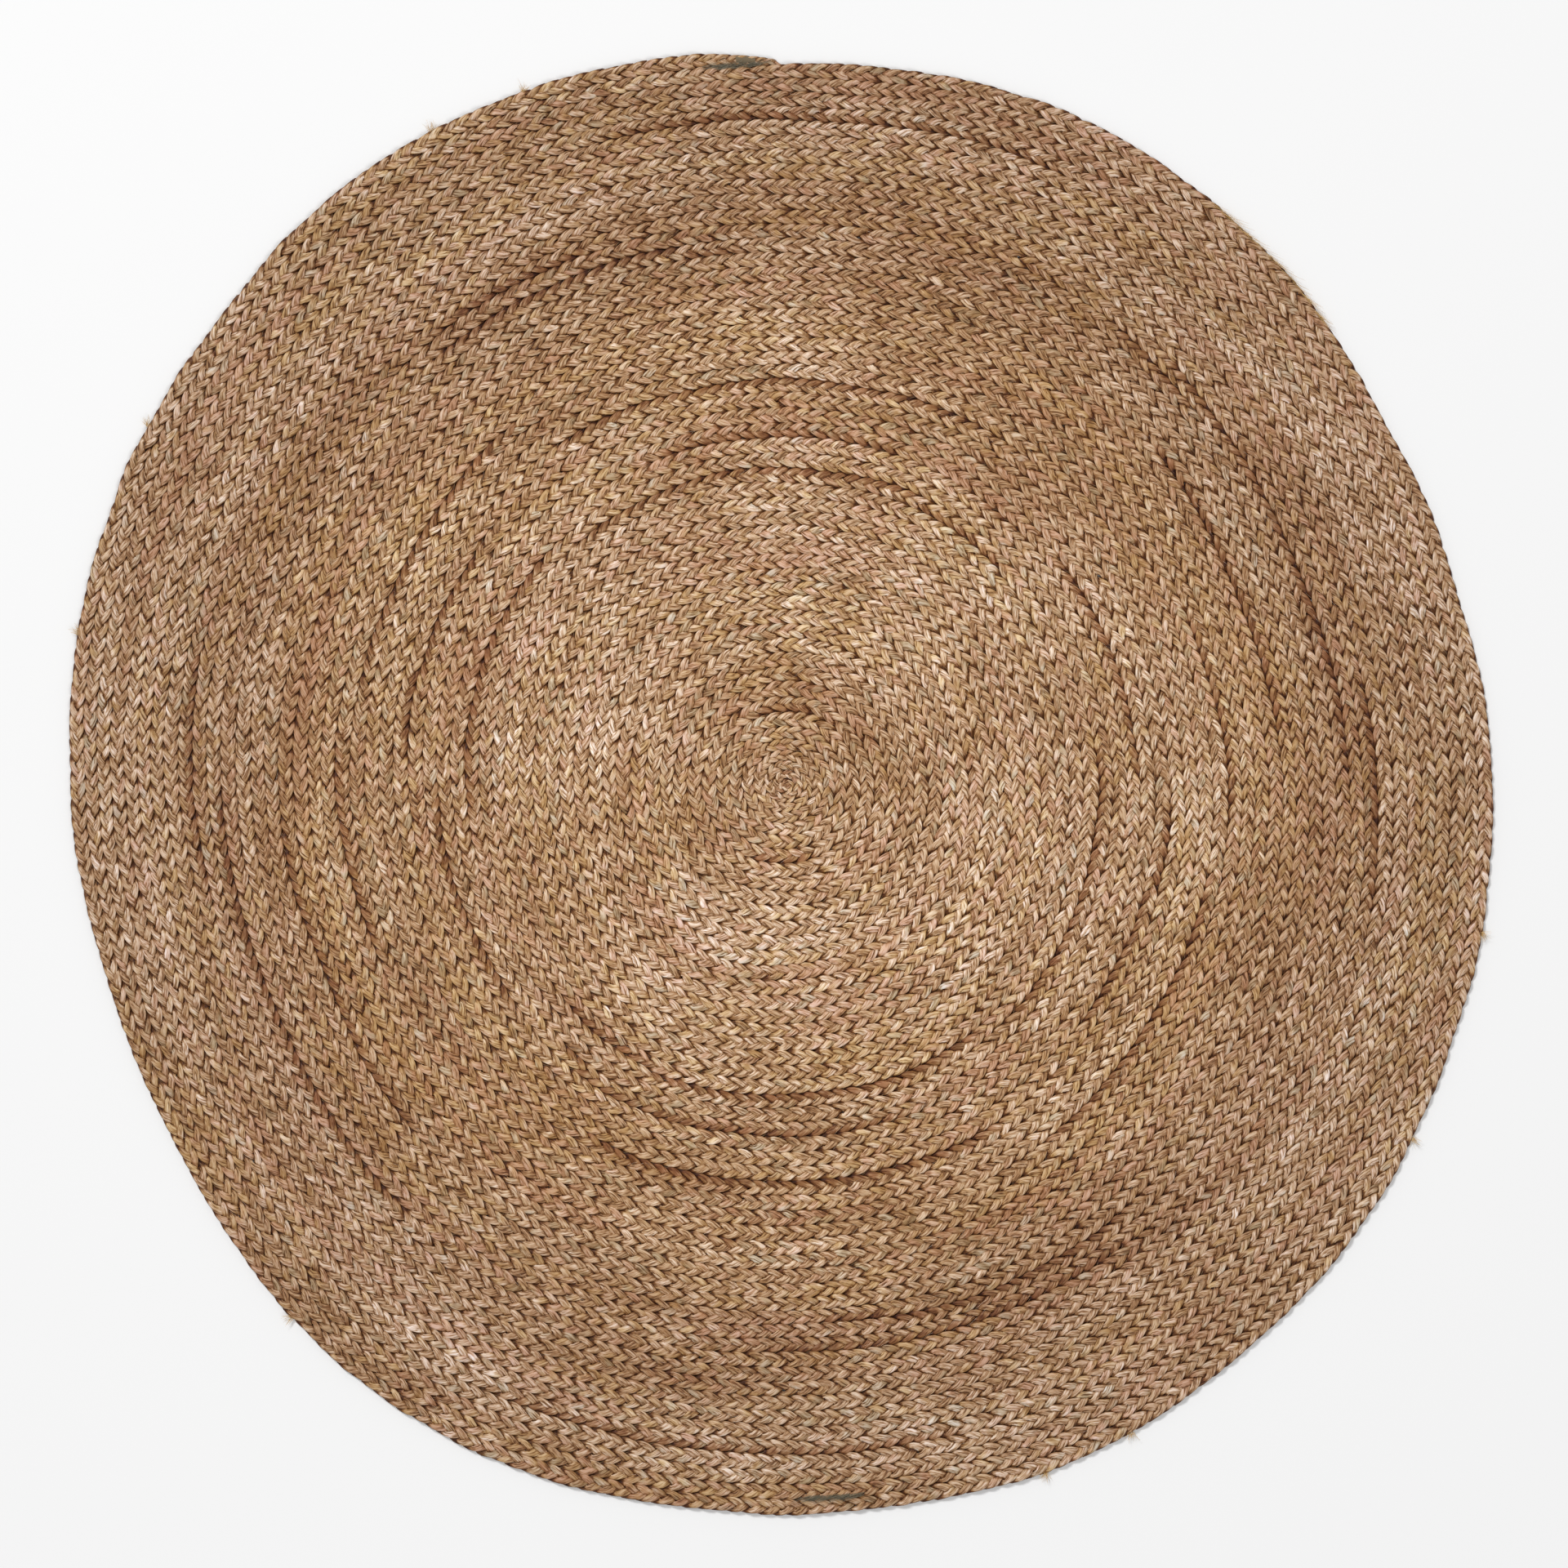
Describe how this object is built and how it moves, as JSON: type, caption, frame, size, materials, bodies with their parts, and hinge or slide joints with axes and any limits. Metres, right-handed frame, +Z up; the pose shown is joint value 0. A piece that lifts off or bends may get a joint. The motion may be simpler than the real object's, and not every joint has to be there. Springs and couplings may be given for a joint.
{
  "type": "braided round rug",
  "caption": "Round area rug of one flat plaited jute braid coiled outward and sewn edge to edge, ending in a tapered, whipped tail.",
  "frame": {"origin": "on the floor at the middle of the coil, which is within 5 mm of the middle of the rug's box", "axes": "+Z up out of the floor; the braid's tail is at +Y, and the coil grows clockwise seen from above"},
  "size_m": [1.7705, 1.8106, 0.009],
  "materials": {
    "jute_braid": "dry, lightly glossy plant fibre with fine streaks along each strand",
    "sewing_thread": "matt twisted thread",
    "whipping_thread": "matt twisted thread"
  },
  "bodies": {
    "root": {"tucked_start": "jute_braid", "braid_length_01": "jute_braid", "seam_thread_01": "sewing_thread", "braid_length_02": "jute_braid", "seam_thread_02": "sewing_thread", "braid_length_03": "jute_braid", "seam_thread_03": "sewing_thread", "braid_length_04": "jute_braid", "seam_thread_04": "sewing_thread", "braid_length_05": "jute_braid", "seam_thread_05": "sewing_thread", "braid_length_06": "jute_braid", "seam_thread_06": "sewing_thread", "braid_length_07": "jute_braid", "seam_thread_07": "sewing_thread", "braid_length_08": "jute_braid", "seam_thread_08": "sewing_thread", "braid_length_09": "jute_braid", "seam_thread_09": "sewing_thread", "braid_length_10": "jute_braid", "seam_thread_10": "sewing_thread", "braid_length_11": "jute_braid", "seam_thread_11": "sewing_thread", "braid_length_12": "jute_braid", "seam_thread_12": "sewing_thread", "braid_tail": "jute_braid", "tail_whipping": "whipping_thread"}
  },
  "joints": []
}
